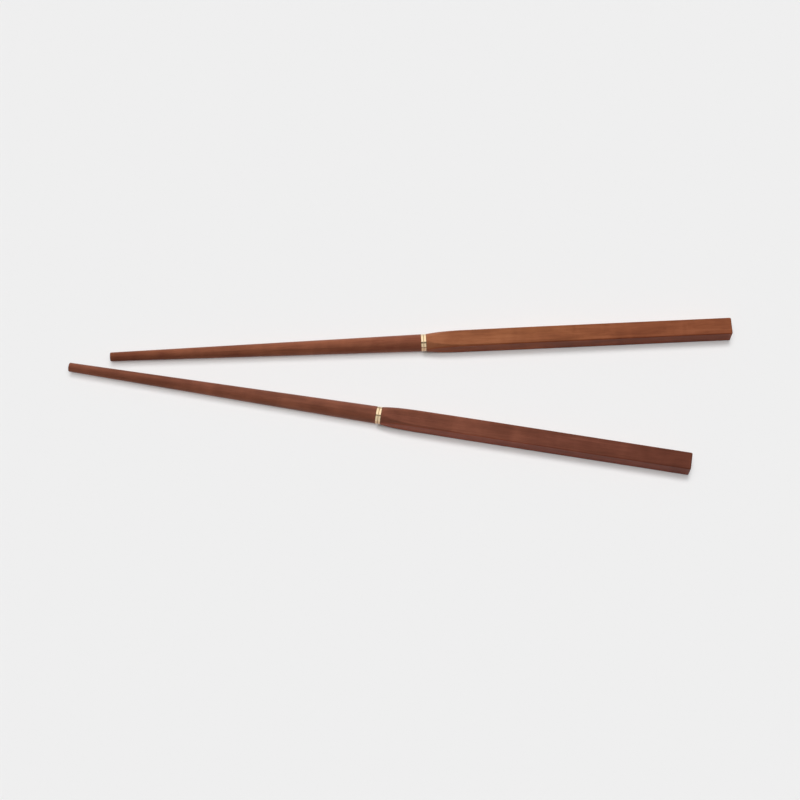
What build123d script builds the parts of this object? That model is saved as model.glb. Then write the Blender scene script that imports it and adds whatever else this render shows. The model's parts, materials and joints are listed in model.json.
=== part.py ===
from build123d import *
from math import cos, radians, sin, sqrt, tan
import os

# A pair of take-apart chopsticks, lying side by side on a table with their tips close together.
# Each stick is a square wooden handle and a round tapered wooden shaft. The two halves screw
# together at a pair of brass ferrules: the handle holds a threaded socket and the shaft holds
# a threaded stud, each glued in by its tang. The flanges of the two ferrules meet face to face
# and show as one brass band with a fine seam.
# Millimetres, +Z up, table at Z 0, tips towards -X, origin under the middle of the pair.

# Tapered shaft
shaft_length = 114.9
shaft_tip_diameter = 3.3
shaft_tip_chamfer = 0.3

# Square handle
handle_length = 113.3
handle_side = 6.5
handle_edge_radius = 0.4
handle_end_radius = 0.6

# Turned nose of the handle, where the square bar is brought down to the brass band. Past the
# nose the lathe still takes a little off the bar's corners, and less and less along the shoulder.
nose_length = 14.0
nose_corner_cut = 0.18
shoulder_length = 27.0
turning_overrun = 5.0

# Brass band
ferrule_diameter = 6.4
ring_width = 0.9
ring_edge_chamfer = 0.1

# Threaded stud and socket, modelled at the thread's crest
stud_diameter = 3.0
stud_length = 8.0
stud_end_chamfer = 0.45
stud_relief_diameter = 2.4
stud_relief_width = 0.8
thread_clearance = 0.06
socket_run_out = 1.0
socket_mouth_chamfer = 0.3
drill_point_angle = 118.0

# Tangs that are glued into the wood
stud_tang_diameter = 3.6
stud_tang_length = 9.0
socket_tang_diameter = 4.6
socket_floor = 1.2
tang_end_chamfer = 0.3
glue_gap = 0.05
glue_pocket = 0.3

# How the pair lies
splay_angle = 12.3
tip_spacing = 4.9
tip_stagger = 14.7

# Sizes that follow from the ones above
stick_length = shaft_length + 2 * ring_width + handle_length
joint_from_tip = shaft_length + ring_width
half_splay = radians(splay_angle / 2)
bore_radius = stud_diameter / 2 + thread_clearance
bore_depth = stud_length + socket_run_out
drill_point = bore_radius / tan(radians(drill_point_angle / 2))
socket_tang_length = bore_depth + drill_point + socket_floor - ring_width
corner_reach = (handle_side / 2 - handle_edge_radius) * sqrt(2) + handle_edge_radius

# The far tip leads the near tip. Each tip is placed first, then the pair is centred on its outline.
far_tip = Vector(tip_stagger / 2, tip_spacing / 2)
near_tip = Vector(-tip_stagger / 2, -tip_spacing / 2)
handle_reach_x = stick_length * cos(half_splay) + handle_side / 2 * sin(half_splay)
handle_reach_y = stick_length * sin(half_splay) + handle_side / 2 * cos(half_splay)
left_edge = near_tip.X - shaft_tip_diameter / 2 * sin(half_splay)
right_edge = far_tip.X + handle_reach_x
back_edge = far_tip.Y + handle_reach_y
front_edge = near_tip.Y - handle_reach_y
pair_middle = Vector((left_edge + right_edge) / 2, (back_edge + front_edge) / 2)


def lay_stick(tip, turn):
    """A stick's own plane: origin at the seam of the brass band, X towards the handle's end."""
    along = Vector(cos(turn), sin(turn), 0)
    seam = tip - pair_middle + along * joint_from_tip + Vector(0, 0, handle_side / 2)
    return Plane(origin=seam, x_dir=along, z_dir=(0, 0, 1))


def centre_line(stick):
    """The stick's axis, for turned pieces."""
    return Axis(stick.origin, stick.x_dir)


def cross_section(stick, distance):
    """A plane across the stick, facing the handle's end, at a distance from the seam."""
    return Plane(origin=stick.origin + stick.x_dir * distance, x_dir=stick.y_dir, z_dir=stick.x_dir)


def make_handle(stick):
    """Square bar with eased edges, its nose turned to a round, bored for the socket's tang."""
    nose_start = ring_width
    nose_end = nose_start + nose_length
    nose_radius = corner_reach - nose_corner_cut
    run_out = nose_end + 2 * shoulder_length
    clear_end = nose_start + handle_length + turning_overrun
    clear_radius = corner_reach + turning_overrun
    with BuildPart() as handle:
        with BuildSketch(cross_section(stick, nose_start)):
            RectangleRounded(handle_side, handle_side, handle_edge_radius)
        extrude(amount=handle_length)
        fillet(handle.faces().sort_by(centre_line(stick))[-1].edges(), handle_end_radius)
        with BuildSketch(stick):
            with BuildLine():
                TangentArc(
                    (nose_end, nose_radius),
                    (nose_start, ferrule_diameter / 2),
                    tangent=(-shoulder_length, -nose_corner_cut),
                )
                Polyline(
                    (nose_end, nose_radius),
                    (run_out, corner_reach + nose_corner_cut),
                    (run_out, clear_radius),
                    (clear_end, clear_radius),
                    (clear_end, 0),
                    (nose_start, 0),
                    (nose_start, ferrule_diameter / 2),
                )
            make_face()
        revolve(axis=centre_line(stick), mode=Mode.INTERSECT)
        with BuildSketch(cross_section(stick, nose_start)):
            Circle(socket_tang_diameter / 2 + glue_gap)
        extrude(amount=socket_tang_length + glue_pocket, mode=Mode.SUBTRACT)
    return handle.part


def make_tip_shaft(stick):
    """Round tapered shaft with its tip's edge broken, bored for the stud's tang."""
    root = -ring_width
    tip = root - shaft_length
    with BuildPart() as shaft:
        with BuildSketch(stick):
            with BuildLine():
                Polyline(
                    (tip, 0),
                    (tip, shaft_tip_diameter / 2),
                    (root, ferrule_diameter / 2),
                    (root, 0),
                    close=True,
                )
            make_face()
        revolve(axis=centre_line(stick))
        chamfer(shaft.faces().sort_by(centre_line(stick))[0].edges(), shaft_tip_chamfer)
        with BuildSketch(cross_section(stick, root)):
            Circle(stud_tang_diameter / 2 + glue_gap)
        extrude(amount=-(stud_tang_length + glue_pocket), mode=Mode.SUBTRACT)
    return shaft.part


def make_stud_ferrule(stick):
    """Brass flange with a glued tang on the shaft's side and a threaded stud on the other."""
    tang_radius = stud_tang_diameter / 2
    ring_radius = ferrule_diameter / 2
    stud_radius = stud_diameter / 2
    relief_radius = stud_relief_diameter / 2
    relief_flank = stud_radius - relief_radius
    tang_end = -ring_width - stud_tang_length
    with BuildPart() as ferrule:
        with BuildSketch(stick):
            with BuildLine():
                Polyline(
                    (tang_end, 0),
                    (tang_end, tang_radius - tang_end_chamfer),
                    (tang_end + tang_end_chamfer, tang_radius),
                    (-ring_width, tang_radius),
                    (-ring_width, ring_radius),
                    (-ring_edge_chamfer, ring_radius),
                    (0, ring_radius - ring_edge_chamfer),
                    (0, relief_radius),
                    (stud_relief_width, relief_radius),
                    (stud_relief_width + relief_flank, stud_radius),
                    (stud_length - stud_end_chamfer, stud_radius),
                    (stud_length, stud_radius - stud_end_chamfer),
                    (stud_length, 0),
                    close=True,
                )
            make_face()
        revolve(axis=centre_line(stick))
    return ferrule.part


def make_socket_ferrule(stick):
    """Brass flange and closed tang with a drilled and threaded bore for the stud."""
    tang_radius = socket_tang_diameter / 2
    ring_radius = ferrule_diameter / 2
    tang_end = ring_width + socket_tang_length
    with BuildPart() as ferrule:
        with BuildSketch(stick):
            with BuildLine():
                Polyline(
                    (0, bore_radius + socket_mouth_chamfer),
                    (0, ring_radius - ring_edge_chamfer),
                    (ring_edge_chamfer, ring_radius),
                    (ring_width, ring_radius),
                    (ring_width, tang_radius),
                    (tang_end - tang_end_chamfer, tang_radius),
                    (tang_end, tang_radius - tang_end_chamfer),
                    (tang_end, 0),
                    (bore_depth + drill_point, 0),
                    (bore_depth, bore_radius),
                    (socket_mouth_chamfer, bore_radius),
                    close=True,
                )
            make_face()
        revolve(axis=centre_line(stick))
    return ferrule.part


sticks = {
    "far": lay_stick(far_tip, half_splay),
    "near": lay_stick(near_tip, -half_splay),
}
pieces = {
    "handle": make_handle,
    "socket_ferrule": make_socket_ferrule,
    "stud_ferrule": make_stud_ferrule,
    "tip_shaft": make_tip_shaft,
}

os.makedirs("parts", exist_ok=True)
for place, stick in sticks.items():
    for name, make_piece in pieces.items():
        part = make_piece(stick)
        part.label = f"{place}_{name}"
        export_step(part, f"parts/{part.label}.step")
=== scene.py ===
import json
import math

import bmesh
import bpy
import numpy as np
from mathutils import Matrix, Vector


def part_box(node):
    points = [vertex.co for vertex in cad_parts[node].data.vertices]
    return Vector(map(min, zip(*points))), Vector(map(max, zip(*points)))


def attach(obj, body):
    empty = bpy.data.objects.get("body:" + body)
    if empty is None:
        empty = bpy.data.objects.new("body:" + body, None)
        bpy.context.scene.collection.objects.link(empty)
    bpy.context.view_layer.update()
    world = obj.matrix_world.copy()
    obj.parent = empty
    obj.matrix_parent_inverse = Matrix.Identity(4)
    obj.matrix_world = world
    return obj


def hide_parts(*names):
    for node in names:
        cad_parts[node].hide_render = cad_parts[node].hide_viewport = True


# A pair of take-apart wooden chopsticks on a pale floor. Each stick's pieces are made in its own
# frame, in millimetres: X along the stick towards the handle's end, Z up, origin on the centre line
# at the seam of the brass band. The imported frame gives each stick's place, heading and lengths.
MM = 0.001

# Brass band: two rings that meet at the seam
RING_RADIUS = 3.2
RING_WIDTH = 0.9
RING_CHAMFER = 0.1
RING_EDGE_BREAK = 0.02

# Wooden handle: a square bar whose nose is turned round
HANDLE_HALF = 3.25
HANDLE_EDGE = 0.4
HANDLE_END_ROUNDING = 0.6
HANDLE_END_EDGE = 0.12
NOSE_LENGTH = 14.0
NOSE_CORNER_CUT = 0.18
SHOULDER_LENGTH = 27.0
SANDED_BLEND = 0.02

# Wooden tip half
TIP_RADIUS = 1.65
TIP_ROUNDING = 0.3
WOOD_EDGE_BREAK = 0.05

# Stud and socket inside the band
STUD_RADIUS = 1.5
STUD_LENGTH = 8.0
STUD_END_CHAMFER = 0.45
RELIEF_RADIUS = 1.2
RELIEF_WIDTH = 0.8
THREAD_CLEARANCE = 0.06
SOCKET_RUN_OUT = 1.0
DRILL_POINT_ANGLE = 118.0
BORE_RADIUS = STUD_RADIUS + THREAD_CLEARANCE
BORE_DEPTH = STUD_LENGTH + SOCKET_RUN_OUT
BORE_MOUTH_CHAMFER = 0.3
DRILL_POINT = round(BORE_RADIUS / math.tan(math.radians(DRILL_POINT_ANGLE / 2)), 3)

# Threads. The crest's half width and the flank's width are shares of the pitch.
THREAD_PITCH = 0.5
THREAD_CREST = 0.06
THREAD_FLANK = 0.32
STUD_THREAD_DEPTH = 0.29
SOCKET_THREAD_DEPTH = 0.22
SOCKET_THREAD_RUN_OUT = 0.4

# Tangs that are glued into the wood
STUD_TANG_RADIUS = 1.8
STUD_TANG_LENGTH = 9.0
SOCKET_TANG_RADIUS = 2.3
SOCKET_FLOOR = 1.2
SOCKET_TANG_END = BORE_DEPTH + DRILL_POINT + SOCKET_FLOOR
TANG_CHAMFER = 0.3
GLUE_GAP = 0.05
GLUE_POCKET = 0.3

# Mesh fineness. Rings keep the triangles of the flat end faces from running to one point.
TURNED_SEGMENTS = 128
FLAT_SEGMENTS = 26
CORNER_SEGMENTS = 12
NOSE_STATIONS = 60
SHOULDER_STATIONS = 70
STRAIGHT_STATIONS = 40
SHAFT_STATIONS = 160
HANDLE_END_STEPS = 8
TIP_END_STEPS = 5
THREAD_SEGMENTS = 96
THREAD_ROWS_PER_PITCH = 12
HANDLE_END_RINGS = (0.8, 0.55, 0.3, 0.12)
TIP_END_RINGS = (0.4, 0.9)
STUD_END_RING = 0.6
MERGE_DISTANCE = 1e-4
SHORTEST_EDGE = 1e-5

# Wood of each half: its colours, a shift that makes its grain its own, tones at two places along
# the stick, and painted shade or light for the side towards -Y from the first depth to the second
WOODS = {
    "far_handle": {
        "dark": (0.185, 0.056, 0.026),
        "middle": (0.24, 0.075, 0.034),
        "light": (0.295, 0.098, 0.046),
        "shift": (3.1, 0.7, 0.2),
        "tones": ((30, (1.22, 1.38, 1.3)), (75, (0.94, 0.94, 0.94))),
        "front_painted_shading": (0.86, 0.62, 0.52), "front_depth": (-2.8, -3.2),
    },
    "far_tip": {
        "dark": (0.175, 0.053, 0.029),
        "middle": (0.221, 0.074, 0.039),
        "light": (0.273, 0.095, 0.05),
        "shift": (1.4, 2.6, 5.1),
        "tones": ((-115, (0.87, 0.84, 0.8)), (0, (1.08, 1.08, 1.1))),
        "front_painted_shading": (1.0, 1.0, 1.0), "front_depth": (-0.2, -2.2),
    },
    "near_handle": {
        "dark": (0.115, 0.036, 0.022),
        "middle": (0.15, 0.047, 0.029),
        "light": (0.19, 0.061, 0.038),
        "shift": (7.9, 4.3, 1.8),
        "tones": ((0, (1.3, 1.4, 1.36)), (110, (0.8, 0.79, 0.78))),
        "front_painted_shading": (1.4, 1.02, 0.84), "front_depth": (-2.9, -3.25),
    },
    "near_tip": {
        "dark": (0.145, 0.049, 0.029),
        "middle": (0.185, 0.063, 0.037),
        "light": (0.23, 0.08, 0.047),
        "shift": (5.2, 8.1, 3.3),
        "tones": ((-115, (0.95, 0.93, 0.9)), (0, (1.04, 1.06, 1.08))),
        "front_painted_shading": (1.2, 1.16, 1.1), "front_depth": (-0.2, -2.2),
    },
}

# Studio. The gap's angles are in degrees from the camera, at its rim and its core.
BACKDROP = 0.863
WORLD_FILL = 0.06
GAP_ANGLES = (15, 7)
GAP_LIGHT = 0.12
FLOOR_LEVEL = -0.01
FLOOR_HALF = 3000.0

# Camera, fitted to both sticks' edges, ends and brass bands. Angles are in degrees.
CAMERA_AZIMUTH = 3.566
CAMERA_ELEVATION = 68.396
CAMERA_ROLL = -0.215
CAMERA_DISTANCE = 689.93
CAMERA_TARGET = (0.614, -7.112, 0.0)
CAMERA_LENS = 84.44
CAMERA_CLIP_START = 10.0

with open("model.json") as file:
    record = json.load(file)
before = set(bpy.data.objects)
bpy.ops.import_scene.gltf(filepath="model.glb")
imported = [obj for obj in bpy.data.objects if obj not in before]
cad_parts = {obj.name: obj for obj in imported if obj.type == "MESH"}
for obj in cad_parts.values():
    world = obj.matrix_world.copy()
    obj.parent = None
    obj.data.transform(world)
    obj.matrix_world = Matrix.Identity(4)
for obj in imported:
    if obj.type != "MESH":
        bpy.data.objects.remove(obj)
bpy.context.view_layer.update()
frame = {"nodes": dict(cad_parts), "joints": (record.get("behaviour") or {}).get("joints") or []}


class Stick:
    """One stick's frame and lengths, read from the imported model."""

    def __init__(self, place):
        self.place = place
        slide = next(joint for joint in frame["joints"] if joint["name"] == f"{place}_tip_unscrew")
        self.along = -Vector(slide["axis"]).normalized()
        self.across = Vector((0, 0, 1)).cross(self.along)
        handle = self.extent("handle", self.across)
        seam = self.extent("socket_ferrule", self.along)[0]
        low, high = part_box(f"{place}_handle")
        middle = (handle[0] + handle[1]) / 2
        self.origin = self.along * seam + self.across * middle + Vector((0, 0, (low.z + high.z) / 2))
        self.handle_end = (self.extent("handle", self.along)[1] - seam) / MM
        self.tip_end = (self.extent("tip_shaft", self.along)[0] - seam) / MM
        self.matrix = Matrix.Translation(self.origin) @ Matrix(
            (self.along, self.across, (0, 0, 1))
        ).transposed().to_4x4()

    def extent(self, piece, direction):
        """The lowest and highest place of a node along a direction, in metres."""
        mesh = frame["nodes"][f"{self.place}_{piece}"].data
        points = np.empty(len(mesh.vertices) * 3)
        mesh.vertices.foreach_get("co", points)
        places = points.reshape(-1, 3) @ np.array(direction)
        return places.min(), places.max()


# Meshes

def circle_angles(count):
    """Even angles round a turned section."""
    return np.arange(count) * 2 * math.pi / count


def square_angles():
    """Angles round a square section, close together where its edges are rounded."""
    corner_start = math.atan2(HANDLE_HALF - HANDLE_EDGE, HANDLE_HALF)
    corner_end = math.pi / 2 - corner_start
    quarter = np.concatenate([
        np.linspace(0, corner_start, FLAT_SEGMENTS, endpoint=False),
        np.linspace(corner_start, corner_end, CORNER_SEGMENTS, endpoint=False),
        np.linspace(corner_end, math.pi / 2, FLAT_SEGMENTS, endpoint=False),
    ])
    return np.concatenate([quarter + turn * math.pi / 2 for turn in range(4)])


def loop(x, radii, angles):
    """A closed loop of points across the stick."""
    radii = np.broadcast_to(radii, angles.shape)
    places = np.full(len(angles), float(x))
    return np.stack([places, radii * np.cos(angles), radii * np.sin(angles)], -1)


def turned(profile, angles):
    """Loops of a turned form from its profile of (x, radius) points."""
    return [loop(x, radius, angles) for x, radius in profile]


def skin(loops):
    """Points and faces of a closed skin: loops of equal length between two single end points."""
    count = len(loops[1])
    sides = [(j, (j + 1) % count) for j in range(count)]
    points = [loops[0][:1]] + loops[1:-1] + [loops[-1][:1]]
    first, last = 1, 1 + count * (len(loops) - 3)
    faces = [(0, first + k, first + j) for j, k in sides]
    for start in range(first, last, count):
        faces += [(start + j, start + k, start + count + k, start + count + j) for j, k in sides]
    faces += [(last + j, last + k, last + count) for j, k in sides]
    return np.concatenate(points), faces


def open_skin(loops):
    """Points and faces of a skin that is closed at its first point and open at its last loop."""
    points, faces = skin(loops + [loops[-1]])
    return points[:-1], faces[:-len(loops[-1])]


def make_piece(name, stick, parts, body, material, replaced, sharp_degrees=35):
    """A mesh object in the stick's frame that stands for a node of the frame."""
    mesh = bpy.data.meshes.new(name)
    work = bmesh.new()
    for points, faces in parts:
        made = [work.verts.new(Vector(point) * MM) for point in points.tolist()]
        for face in faces:
            corners = [made[index] for index in face]
            if len(set(corners)) == len(corners):
                work.faces.new(corners)
    bmesh.ops.remove_doubles(work, verts=work.verts, dist=MERGE_DISTANCE * MM)
    bmesh.ops.dissolve_degenerate(work, edges=work.edges, dist=SHORTEST_EDGE * MM)
    bmesh.ops.recalc_face_normals(work, faces=work.faces)
    work.to_mesh(mesh)
    work.free()
    mesh.shade_smooth()
    mesh.set_sharp_from_angle(angle=math.radians(sharp_degrees))
    piece = bpy.data.objects.new(name, mesh)
    bpy.context.scene.collection.objects.link(piece)
    piece.matrix_world = stick.matrix
    mesh.materials.append(material)
    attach(piece, body)
    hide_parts(replaced)
    return piece


# Handle

def bar_radii(angles, half, edge):
    """Distance from the centre to a rounded square's outline, at each angle."""
    folded = np.mod(angles, math.pi / 2)
    folded = np.minimum(folded, math.pi / 2 - folded)
    flat = half / np.cos(folded)
    centre = half - edge
    reach = centre * (np.cos(folded) + np.sin(folded))
    corner = reach + np.sqrt(np.maximum(reach**2 - 2 * centre**2 + edge**2, 0))
    return np.where(half * np.tan(folded) <= centre, flat, corner)


def turned_radius(x):
    """Radius that the lathe leaves on the handle at x: an arc for the nose, then a slow rise."""
    reach = (HANDLE_HALF - HANDLE_EDGE) * math.sqrt(2) + HANDLE_EDGE
    nose_end = RING_WIDTH + NOSE_LENGTH
    slope = NOSE_CORNER_CUT / SHOULDER_LENGTH
    end_radius = reach - NOSE_CORNER_CUT
    if x >= nose_end:
        return end_radius + slope * (x - nose_end)
    inward = Vector((slope, -1)).normalized()
    chord = Vector((RING_WIDTH - nose_end, RING_RADIUS - end_radius))
    bend = chord.length_squared / (2 * chord.dot(inward))
    centre = Vector((nose_end, end_radius)) + inward * bend
    return centre.y + math.sqrt(bend**2 - (x - centre.x) ** 2)


def handle_radii(x, angles):
    """The bar's outline or the lathe's, whichever is nearer, blended by sanding where they meet."""
    bar = bar_radii(angles, HANDLE_HALF, HANDLE_EDGE)
    lathe = turned_radius(x)
    gap = np.abs(bar - lathe)
    return np.minimum(bar, lathe) - SANDED_BLEND * np.log1p(np.exp(-gap / SANDED_BLEND))


def make_handle(stick, material):
    """Square bar with a turned nose and a rounded end, bored for the socket's tang."""
    angles = square_angles()
    end = stick.handle_end
    bore = SOCKET_TANG_RADIUS + GLUE_GAP
    bore_end = SOCKET_TANG_END + GLUE_POCKET
    nose_end = RING_WIDTH + NOSE_LENGTH
    straight_from = nose_end + 2 * SHOULDER_LENGTH
    loops = turned([(bore_end, 0), (bore_end, bore), (RING_WIDTH, bore)], angles)
    loops.append(loop(RING_WIDTH, handle_radii(RING_WIDTH, angles) - WOOD_EDGE_BREAK, angles))
    stations = np.concatenate([
        np.linspace(RING_WIDTH + WOOD_EDGE_BREAK, nose_end, NOSE_STATIONS, endpoint=False),
        np.linspace(nose_end, straight_from, SHOULDER_STATIONS, endpoint=False),
        np.linspace(straight_from, end - HANDLE_END_ROUNDING, STRAIGHT_STATIONS),
    ])
    loops += [loop(x, handle_radii(x, angles), angles) for x in stations]
    for turn in np.linspace(0, math.pi / 2, HANDLE_END_STEPS + 1)[1:]:
        inset = HANDLE_END_ROUNDING * (1 - math.cos(turn))
        x = end - HANDLE_END_ROUNDING * (1 - math.sin(turn))
        rim = bar_radii(angles, HANDLE_HALF - inset, max(HANDLE_EDGE - inset, HANDLE_END_EDGE))
        loops.append(loop(x, rim, angles))
    loops += [loop(end, rim * share, angles) for share in (*HANDLE_END_RINGS, 0)]
    return make_piece(
        f"{stick.place}_handle_wood", stick, [skin(loops)], "handles",
        material, f"{stick.place}_handle", sharp_degrees=40,
    )


# Tip half's wood

def make_shaft(stick, material):
    """Round tapered shaft with a rounded tip, bored for the stud's tang."""
    root, tip = -RING_WIDTH, stick.tip_end
    bore = STUD_TANG_RADIUS + GLUE_GAP
    bore_end = root - STUD_TANG_LENGTH - GLUE_POCKET
    taper = (RING_RADIUS - TIP_RADIUS) / (root - tip)
    shoulder = TIP_RADIUS + taper * TIP_ROUNDING
    profile = [(tip, radius) for radius in (0, *TIP_END_RINGS)]
    profile += [
        (tip + TIP_ROUNDING * (1 - math.sin(turn)), shoulder - TIP_ROUNDING * (1 - math.cos(turn)))
        for turn in np.linspace(math.pi / 2, 0, TIP_END_STEPS + 1)
    ]
    sides = np.linspace(tip + TIP_ROUNDING, root - WOOD_EDGE_BREAK, SHAFT_STATIONS)
    profile += [(x, TIP_RADIUS + taper * (x - tip)) for x in sides[1:]]
    profile += [(root, RING_RADIUS - WOOD_EDGE_BREAK), (root, bore)]
    profile += [(bore_end, bore), (bore_end, 0)]
    loops = turned(profile, circle_angles(TURNED_SEGMENTS))
    return make_piece(
        f"{stick.place}_tip_wood", stick, [skin(loops)], f"{stick.place}_tip_half",
        material, f"{stick.place}_tip_shaft",
    )


# Brass

def tang_and_ring(side, tang_end, tang_radius):
    """Profile of a ferrule from its tang's end to its ring's chamfer at the seam, on either side."""
    return [(side * x, radius) for x, radius in (
        (tang_end, 0), (tang_end, tang_radius - TANG_CHAMFER),
        (tang_end - TANG_CHAMFER, tang_radius), (RING_WIDTH, tang_radius),
        (RING_WIDTH, RING_RADIUS - RING_EDGE_BREAK), (RING_WIDTH - RING_EDGE_BREAK, RING_RADIUS),
        (RING_CHAMFER + RING_EDGE_BREAK, RING_RADIUS),
        (RING_CHAMFER - 0.75 * RING_EDGE_BREAK, RING_RADIUS - 1.5 * RING_EDGE_BREAK),
        (0, RING_RADIUS - RING_CHAMFER),
    )]


def thread_part(start, end, crest, depth, envelope, groove_outward=False):
    """A helical thread between two flat rings. Its rows follow the helix, and envelope gives the
    radius that it may not pass at each x, so it runs out at both ends."""
    rows, columns = THREAD_ROWS_PER_PITCH, THREAD_SEGMENTS
    row_count = int(math.ceil((end - start) / THREAD_PITCH)) * rows + rows
    order = np.arange(row_count)
    flank = np.clip((np.abs(np.arange(rows) / rows - 0.5) - THREAD_CREST) / THREAD_FLANK, 0, 1)
    form = crest + depth * (1 - flank) if groove_outward else crest - depth * flank
    points = np.empty((columns, row_count, 3))
    for j in range(columns):
        angle = 2 * math.pi * j / columns
        x = start + (order - rows + rows * j / columns) * THREAD_PITCH / rows
        x = np.clip(x, start, end)
        limit = np.array([envelope(value) for value in x])
        radius = np.minimum(form[order % rows], limit)
        if groove_outward:
            radius = np.maximum(radius, crest)
        radius = np.where((x <= start) | (x >= end), limit, radius)
        points[j] = np.stack([x, radius * math.cos(angle), radius * math.sin(angle)], -1)
    faces = []
    for j in range(columns):
        shift = rows if j + 1 == columns else 0
        here, there = j * row_count, (j + 1) % columns * row_count + shift
        steps = range(row_count - 1 - shift)
        faces += [(here + k, there + k, there + k + 1, here + k + 1) for k in steps]
    return points.reshape(-1, 3), faces


def make_stud(stick, material):
    """Ferrule of the tip half: glued tang, ring, thread relief and threaded stud."""
    angles = circle_angles(THREAD_SEGMENTS)

    def envelope(x):
        rising = RELIEF_RADIUS + (x - RELIEF_WIDTH)
        falling = STUD_RADIUS - STUD_END_CHAMFER + (STUD_LENGTH - x)
        return min(STUD_RADIUS, rising, falling)

    body = tang_and_ring(-1, RING_WIDTH + STUD_TANG_LENGTH, STUD_TANG_RADIUS)
    body += [(0, (RING_RADIUS + RELIEF_RADIUS) / 2)]
    body += [(0, RELIEF_RADIUS), (RELIEF_WIDTH, RELIEF_RADIUS)]
    head = [(STUD_LENGTH, radius) for radius in (0, STUD_END_RING, STUD_RADIUS - STUD_END_CHAMFER)]
    thread = thread_part(RELIEF_WIDTH, STUD_LENGTH, STUD_RADIUS, STUD_THREAD_DEPTH, envelope)
    return make_piece(
        f"{stick.place}_stud_brass", stick,
        [open_skin(turned(body, angles)), open_skin(turned(head, angles)), thread],
        f"{stick.place}_tip_half", material, f"{stick.place}_stud_ferrule", sharp_degrees=28,
    )


def make_socket(stick, material):
    """Ferrule of the handle: glued tang, ring and a drilled and threaded bore."""
    angles = circle_angles(THREAD_SEGMENTS)
    thread_start = BORE_MOUTH_CHAMFER
    thread_end = BORE_DEPTH - SOCKET_THREAD_RUN_OUT

    def envelope(x):
        return BORE_RADIUS + min(x - thread_start, thread_end - x, SOCKET_THREAD_DEPTH)

    outside = tang_and_ring(1, SOCKET_TANG_END, SOCKET_TANG_RADIUS)
    outside += [(0, BORE_RADIUS + BORE_MOUTH_CHAMFER), (BORE_MOUTH_CHAMFER, BORE_RADIUS)]
    drilled = [(BORE_DEPTH + DRILL_POINT, 0), (BORE_DEPTH, BORE_RADIUS), (thread_end, BORE_RADIUS)]
    thread = thread_part(
        thread_start, thread_end, BORE_RADIUS, SOCKET_THREAD_DEPTH, envelope, groove_outward=True
    )
    return make_piece(
        f"{stick.place}_socket_brass", stick,
        [open_skin(turned(outside, angles)), open_skin(turned(drilled, angles)), thread],
        "handles", material, f"{stick.place}_socket_ferrule", sharp_degrees=28,
    )


# Materials

class Nodes:
    """Adds nodes to a node tree and links them."""

    def __init__(self, tree):
        self.tree = tree

    def fill(self, socket, value):
        """Links a socket to another, or sets it to a constant."""
        if isinstance(value, bpy.types.NodeSocket):
            self.tree.links.new(value, socket)
        else:
            socket.default_value = value

    def node(self, kind, inputs=(), **settings):
        made = self.tree.nodes.new(kind)
        for key, value in settings.items():
            setattr(made, key, value)
        for key, value in dict(inputs).items():
            self.fill(made.inputs[key], value)
        return made

    def math(self, operation, first, second=0.0, third=0.0):
        inputs = {0: first, 1: second, 2: third}
        return self.node("ShaderNodeMath", inputs, operation=operation).outputs[0]

    def span(self, value, low, high, new_low=0.0, new_high=1.0, interpolation="LINEAR"):
        """A value's place between low and high, held at both ends and mapped to a new span."""
        return self.node("ShaderNodeMapRange", {
            "Value": value, "From Min": low, "From Max": high, "To Min": new_low, "To Max": new_high,
        }, interpolation_type=interpolation).outputs["Result"]

    def either(self, factor, first, second):
        """The first number at factor 0, the second at factor 1."""
        inputs = {0: factor, 2: first, 3: second}
        return self.node("ShaderNodeMix", inputs, data_type="FLOAT").outputs[0]

    def parts(self, vector):
        return self.node("ShaderNodeSeparateXYZ", {"Vector": vector}).outputs


class Shader(Nodes):
    """A material's nodes, with patterns in the stick's own coordinates."""

    def __init__(self, name):
        self.material = bpy.data.materials.new(name)
        self.material.use_nodes = True
        super().__init__(self.material.node_tree)
        self.surface = self.tree.nodes["Principled BSDF"]
        self.place = self.node("ShaderNodeTexCoord").outputs["Object"]

    def noise(self, scale, offset=(0, 0, 0), detail=3.0, roughness=0.55, distortion=0.0):
        """Noise at a scale for each axis, so that a pattern can run along the stick."""
        stretched = self.node("ShaderNodeMapping", {
            "Vector": self.place, "Location": offset, "Scale": scale,
        }).outputs["Vector"]
        return self.node("ShaderNodeTexNoise", {
            "Vector": stretched, "Scale": 1.0, "Detail": detail,
            "Roughness": roughness, "Distortion": distortion,
        }).outputs["Fac"]

    def ramp(self, factor, stops):
        made = self.node("ShaderNodeValToRGB", {"Fac": factor})
        while len(made.color_ramp.elements) < len(stops):
            made.color_ramp.elements.new(0.5)
        for element, (position, colour) in zip(made.color_ramp.elements, stops):
            element.position = position
            element.color = (*colour, 1)
        return made.outputs["Color"]

    def mix(self, factor, first, second, blend="MIX"):
        first, second = (
            (*colour, 1) if isinstance(colour, tuple) else colour for colour in (first, second)
        )
        inputs = {0: factor, 6: first, 7: second}
        return self.node("ShaderNodeMix", inputs, data_type="RGBA", blend_type=blend).outputs[2]

    def tint(self, colour, tone):
        return self.mix(1.0, colour, tone, blend="MULTIPLY")

    def bump(self, height, depth_mm, normal=None):
        inputs = {"Height": height, "Distance": depth_mm * MM, "Strength": 1.0}
        if normal is not None:
            inputs["Normal"] = normal
        return self.node("ShaderNodeBump", inputs).outputs["Normal"]

    def set(self, **inputs):
        """Sets the surface's inputs, with underscores for the spaces in their names."""
        for key, value in inputs.items():
            self.fill(self.surface.inputs[key.replace("_", " ")], value)


def darker(colour, share):
    return tuple(share * channel for channel in colour)


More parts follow.
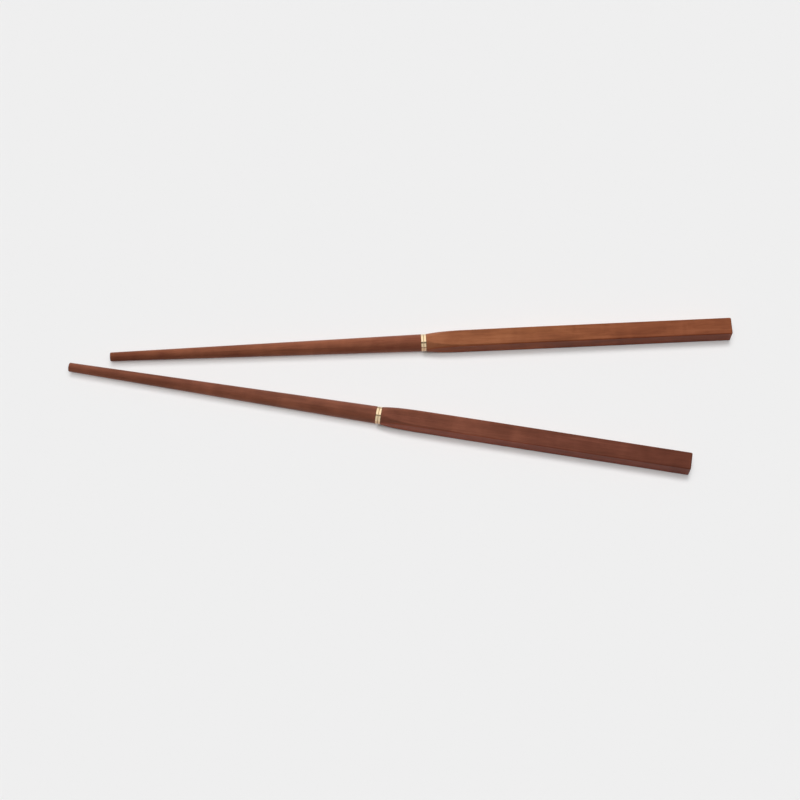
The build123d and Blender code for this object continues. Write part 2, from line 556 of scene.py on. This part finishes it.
def wood_figure(wood, shift, fibres):
    """Soft blotches, faint ribbons across the grain, streaks and fibres, as one value from 0 to 1."""
    layers = (
        (wood.noise((60, 240, 240), shift, detail=3, roughness=0.6, distortion=0.4), 0.36),
        (wood.noise((130, 45, 45), shift, detail=2, distortion=0.6), 0.24),
        (wood.noise((28, 900, 900), shift, detail=4, roughness=0.6, distortion=0.3), 0.22),
        (fibres, 0.18),
    )
    figure = 0.0
    for layer, share in layers:
        figure = wood.math("MULTIPLY_ADD", layer, share, figure)
    return wood.span(figure, 0.41, 0.59)


def growth_lines(wood, shift):
    """Fine dark lines along the grain, in some places only."""
    x, y, z = shift
    lines = wood.noise((14, 1500, 1500), (z, x, y), detail=2, roughness=0.5)
    places = wood.noise((30, 300, 300), (y, z, x), detail=1)
    return wood.math("MULTIPLY", wood.span(lines, 0.6, 0.68), wood.span(places, 0.5, 0.62))


def open_pores(wood, shift):
    """Short pores in rows along the grain."""
    pores = wood.noise((520, 11000, 11000), shift, detail=1.5, roughness=0.5)
    rows = wood.noise((40, 900, 900), shift, detail=2)
    return wood.math("MULTIPLY", wood.span(pores, 0.62, 0.7), wood.span(rows, 0.4, 0.6, 0.15, 1.0))


def with_end_grain(wood, shift, colour):
    """Darker, dotted wood on the faces that are cut across the grain."""
    facing = wood.node("ShaderNodeVectorTransform", {
        "Vector": wood.node("ShaderNodeNewGeometry").outputs["True Normal"],
    }, vector_type="NORMAL", convert_from="WORLD", convert_to="OBJECT").outputs["Vector"]
    across_grain = wood.span(wood.math("ABSOLUTE", wood.parts(facing)["X"]), 0.35, 0.85)
    dots = wood.noise((300, 2600, 2600), shift, detail=3, roughness=0.7)
    tone = wood.mix(wood.span(dots, 0.4, 0.62), (0.52, 0.48, 0.46), (0.85, 0.82, 0.8))
    return wood.mix(across_grain, colour, wood.tint(colour, tone))


def make_wood(name, dark, middle, light, shift, tones, front_painted_shading, front_depth):
    """Straight-grained reddish hardwood, oiled to a satin. The side towards -Y has painted light and
    shade, and the wood beside the brass has a painted shade of the gap.
    """
    wood = Shader(name)
    fibres = wood.noise((110, 4200, 4200), shift, detail=3, roughness=0.6)
    colour = wood.ramp(wood_figure(wood, shift, fibres), [(0.0, dark), (0.5, middle), (1.0, light)])
    clouds = wood.noise((16, 90, 90), shift, detail=2)
    plum = wood.mix(wood.span(clouds, 0.42, 0.68, 0.0, 0.4), (1, 1, 1), (0.9, 0.86, 1.0))
    colour = wood.tint(colour, plum)
    lines = growth_lines(wood, shift)
    colour = wood.mix(wood.math("MULTIPLY", lines, 0.4), colour, darker(dark, 0.55))
    pores = open_pores(wood, shift)
    colour = wood.mix(wood.math("MULTIPLY", pores, 0.5), colour, darker(dark, 0.35))

    place = wood.parts(wood.place)
    (first_x, first_tone), (last_x, last_tone) = tones
    along = wood.span(place["X"], first_x * MM, last_x * MM)
    colour = wood.tint(colour, wood.mix(along, first_tone, last_tone))
    # Painted shade and light on the side towards -Y: darker on the far handle, lighter on the near
    # halves
    front = wood.span(place["Y"], front_depth[0] * MM, front_depth[1] * MM)
    colour = wood.mix(front, colour, wood.tint(colour, front_painted_shading))
    colour = with_end_grain(wood, shift, colour)
    # Painted shade of the gap where the wood meets the brass: a dark line along the ring's edge
    from_brass = wood.math("SUBTRACT", wood.math("ABSOLUTE", place["X"]), RING_WIDTH * MM)
    gap_painted_shade = wood.span(from_brass, 0.0, 0.16 * MM, 0.6, 0.0)
    colour = wood.mix(gap_painted_shade, colour, darker(dark, 0.3))

    relief = wood.math("SUBTRACT", wood.math("MULTIPLY", fibres, 0.35), pores)
    unevenness = wood.bump(wood.noise((60, 260, 260), shift, detail=2), 0.02)
    wood.set(
        Base_Color=colour, Normal=wood.bump(relief, 0.012, normal=unevenness),
        Specular_IOR_Level=0.08, Roughness=wood.span(fibres, 0.3, 0.7, 0.38, 0.5),
    )
    return wood.material


def make_brass():
    """Turned and polished pale brass, darker in the seam near the rim, with painted shade on the
    rings' undersides.
    """
    brass = Shader("polished_brass")
    x, y, z = brass.parts(brass.place)
    squares = [brass.math("MULTIPLY", side, side) for side in (y, z)]
    out = brass.math("SQRT", brass.math("ADD", *squares))
    spread = brass.node("ShaderNodeCombineXYZ", {"X": x, "Y": out}).outputs["Vector"]
    turning = brass.node("ShaderNodeTexNoise", {
        "Vector": spread, "Scale": 16000.0, "Detail": 2.0, "Roughness": 0.6,
    }).outputs["Fac"]
    haze = brass.noise((500, 500, 500), detail=3)
    colour = brass.ramp(haze, [(0.3, (0.90, 0.69, 0.43)), (0.7, (0.95, 0.75, 0.49))])

    # Darker in the seam between the rings, near their outer face
    from_seam = brass.span(brass.math("ABSOLUTE", x), 0.05 * MM, 0.13 * MM, 0.7, 0.0)
    near_rim = brass.span(out, (RING_RADIUS - 0.2) * MM, (RING_RADIUS - 0.1) * MM)
    colour = brass.mix(brass.math("MULTIPLY", from_seam, near_rim), colour, (0.16, 0.09, 0.04))
    # Painted shade: the rings' outer faces are darker towards their undersides
    outside = brass.span(out, (RING_RADIUS - 0.3) * MM, (RING_RADIUS - 0.1) * MM)
    underside_painted_shade = brass.span(z, 1.1 * MM, 2.0 * MM, 1.0, 0.0)
    painted_shade_brass = brass.tint(colour, (0.66, 0.55, 0.52))
    colour = brass.mix(brass.math("MULTIPLY", outside, underside_painted_shade), colour, painted_shade_brass)
    brass.set(
        Base_Color=colour, Metallic=1.0, Roughness=brass.span(haze, 0.3, 0.7, 0.13, 0.2),
        Normal=brass.bump(turning, 0.0012),
    )
    return brass.material


# Studio

def make_floor():
    """A pale matt sheet, just below the handles so that their undersides stay clear of it."""
    mesh = bpy.data.meshes.new("floor")
    corners = [(-1, -1), (1, -1), (1, 1), (-1, 1)]
    half, level = FLOOR_HALF * MM, FLOOR_LEVEL * MM
    mesh.from_pydata([(x * half, y * half, level) for x, y in corners], [], [(0, 1, 2, 3)])
    floor = bpy.data.objects.new("floor", mesh)
    bpy.context.scene.collection.objects.link(floor)
    paper = Shader("pale_floor")
    pale = (BACKDROP, BACKDROP, BACKDROP, 1)
    paper.set(Base_Color=pale, Roughness=1.0, Specular_IOR_Level=0.0)
    mesh.materials.append(paper.material)
    return floor


def gather(name, members):
    """A collection that is used only to tell a lamp what it lights or what shades it."""
    group = bpy.data.collections.new(name)
    for member in members:
        group.objects.link(member)
    return group


def make_lamp(name, share, elevation, angle, receivers, blockers=None, azimuth=0.0):
    """A soft distant lamp that gives a level surface this share of the whole light. Elevation is
    counted up from the horizon behind the sticks, so that more than 90 degrees is in front."""
    data = bpy.data.lights.new(name, "SUN")
    data.energy = share * math.pi / math.sin(math.radians(elevation))
    data.angle = math.radians(angle)
    lamp = bpy.data.objects.new(name, data)
    bpy.context.scene.collection.objects.link(lamp)
    lamp.rotation_euler = (math.radians(elevation - 90), 0, math.radians(azimuth))
    lamp.visible_glossy = False
    lamp.light_linking.receiver_collection = gather(f"lit_by_{name}", receivers)
    if blockers:
        lamp.light_linking.blocker_collection = gather(f"shading_{name}", blockers)


def make_lamps(grips, tips, floor):
    """The studio's lamps, which aren't seen in reflections: those show the world. The floor has
    lamps of its own, so that it keeps the short soft shadow of a bright table while the sticks are
    shaded by a low soft light behind them and a broad one overhead. The last lamp is shaded by the
    grips alone, because the thin tips leave a much paler shadow on so bright a table. With the
    world's fill, the shares add up to 1 for the sticks and for the floor."""
    make_lamp("sticks_low_back", 0.36, 32, 30, grips + tips)
    make_lamp("sticks_overhead", 0.58, 96, 40, grips + tips)
    make_lamp("floor_overhead", 0.46, 90, 50, [floor])
    make_lamp("floor_high_back", 0.12, 72, 20, [floor])
    make_lamp("floor_front", 0.14, 104, 20, [floor], azimuth=3.6)
    make_lamp("floor_behind_grips", 0.22, 70, 20, [floor], blockers=grips)


def make_world(camera_back):
    """Even fill light, the backdrop for the camera, and for reflections a bright studio behind and
    above, a dimmer one in front, and the dark gap where the photographer stands. What the brass
    reflects onto the floor is the fill alone."""
    world = bpy.data.worlds.new("studio")
    bpy.context.scene.world = world
    world.use_nodes = True
    studio = Nodes(world.node_tree)
    studio.tree.nodes.clear()
    towards = studio.node("ShaderNodeTexCoord").outputs["Generated"]
    direction = studio.node(
        "ShaderNodeVectorMath", {0: towards}, operation="NORMALIZE"
    ).outputs["Vector"]
    _, depth, height = studio.parts(direction)
    depth_light = studio.span(depth, -0.75, 0.1, 0.72, 1.14, "SMOOTHSTEP")
    height_light = studio.span(height, 0.0, 0.45, 0.85, 1.0, "SMOOTHSTEP")
    from_camera = studio.node(
        "ShaderNodeVectorMath", {0: direction, 1: tuple(camera_back)}, operation="DOT_PRODUCT"
    ).outputs["Value"]
    gap_rim, gap_core = (math.cos(math.radians(angle)) for angle in GAP_ANGLES)
    gap_light = studio.span(from_camera, gap_rim, gap_core, 1.0, GAP_LIGHT, "SMOOTHSTEP")
    reflected = studio.math("MULTIPLY", studio.math("MULTIPLY", depth_light, height_light), gap_light)
    path = studio.node("ShaderNodeLightPath").outputs
    direct = studio.math("LESS_THAN", path["Diffuse Depth"], 0.5)
    mirrored = studio.math("MULTIPLY", path["Is Glossy Ray"], direct)
    light = studio.either(mirrored, WORLD_FILL, reflected)
    shown = studio.either(path["Is Camera Ray"], light, BACKDROP)
    background = studio.node("ShaderNodeBackground", {"Color": (1, 1, 1, 1), "Strength": shown})
    studio.node("ShaderNodeOutputWorld", {"Surface": background.outputs["Background"]})


def make_camera(camera_back):
    """The photo's view, along the direction from the target back to the camera."""
    data = bpy.data.cameras.new("camera")
    data.lens = CAMERA_LENS
    data.clip_start = CAMERA_CLIP_START * MM
    camera = bpy.data.objects.new("camera", data)
    bpy.context.scene.collection.objects.link(camera)
    place = Matrix.Translation((Vector(CAMERA_TARGET) + camera_back * CAMERA_DISTANCE) * MM)
    turn = camera_back.to_track_quat("Z", "Y").to_matrix().to_4x4()
    roll = Matrix.Rotation(math.radians(CAMERA_ROLL), 4, "Z")
    camera.matrix_world = place @ turn @ roll
    bpy.context.scene.camera = camera


brass = make_brass()
woods = {half: make_wood(f"{half}_wood", **look) for half, look in WOODS.items()}
grips, tips = [], []
for stick in (Stick("far"), Stick("near")):
    grips += [make_handle(stick, woods[f"{stick.place}_handle"]), make_socket(stick, brass)]
    tips += [make_stud(stick, brass), make_shaft(stick, woods[f"{stick.place}_tip"])]

azimuth, elevation = math.radians(CAMERA_AZIMUTH), math.radians(CAMERA_ELEVATION)
level = math.cos(elevation)
camera_back = Vector((level * math.sin(azimuth), -level * math.cos(azimuth), math.sin(elevation)))
make_lamps(grips, tips, make_floor())
make_world(camera_back)
make_camera(camera_back)

bpy.context.scene.view_settings.view_transform = "Standard"
